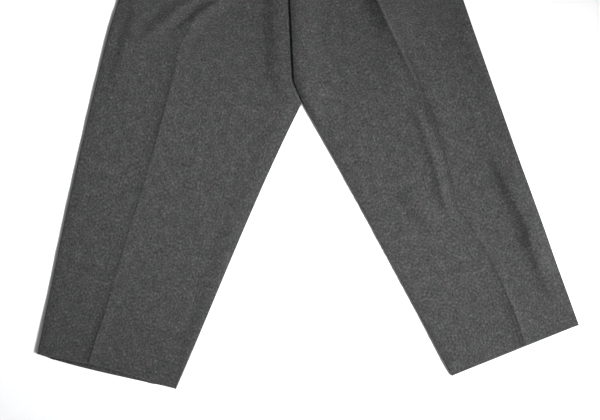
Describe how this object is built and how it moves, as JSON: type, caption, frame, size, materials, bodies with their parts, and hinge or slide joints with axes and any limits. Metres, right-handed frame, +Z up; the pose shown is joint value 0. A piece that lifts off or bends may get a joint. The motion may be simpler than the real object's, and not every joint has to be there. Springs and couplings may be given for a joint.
{
  "type": "pleated dress trousers",
  "caption": "Cropped wool dress trousers with tapered legs, a pleat and pressed crease in each front, a fly and a buttoned waistband, laid flat with the legs apart.",
  "frame": {"origin": "middle of the garment's outline, on the surface that it lies on", "axes": "+X to the wearer's left, across the spread legs; +Y towards the waist; +Z up, out of the front"},
  "size_m": [0.8684, 0.7834, 0.0109],
  "materials": {
    "wool_flannel": "mid grey melange wool flannel, brushed, matt",
    "zip_tape": "woven polyester tape with a nylon chain",
    "slider_metal": "nickel plated die casting",
    "button": "dark imitation horn, semi-gloss"
  },
  "bodies": {
    "root": {"back_left": "wool_flannel", "back_right": "wool_flannel", "front_left": "wool_flannel", "front_right": "wool_flannel", "waistband_left": "wool_flannel", "waistband_right": "wool_flannel", "zip": "zip_tape", "zip_slider": "slider_metal", "button": "button"}
  },
  "joints": []
}
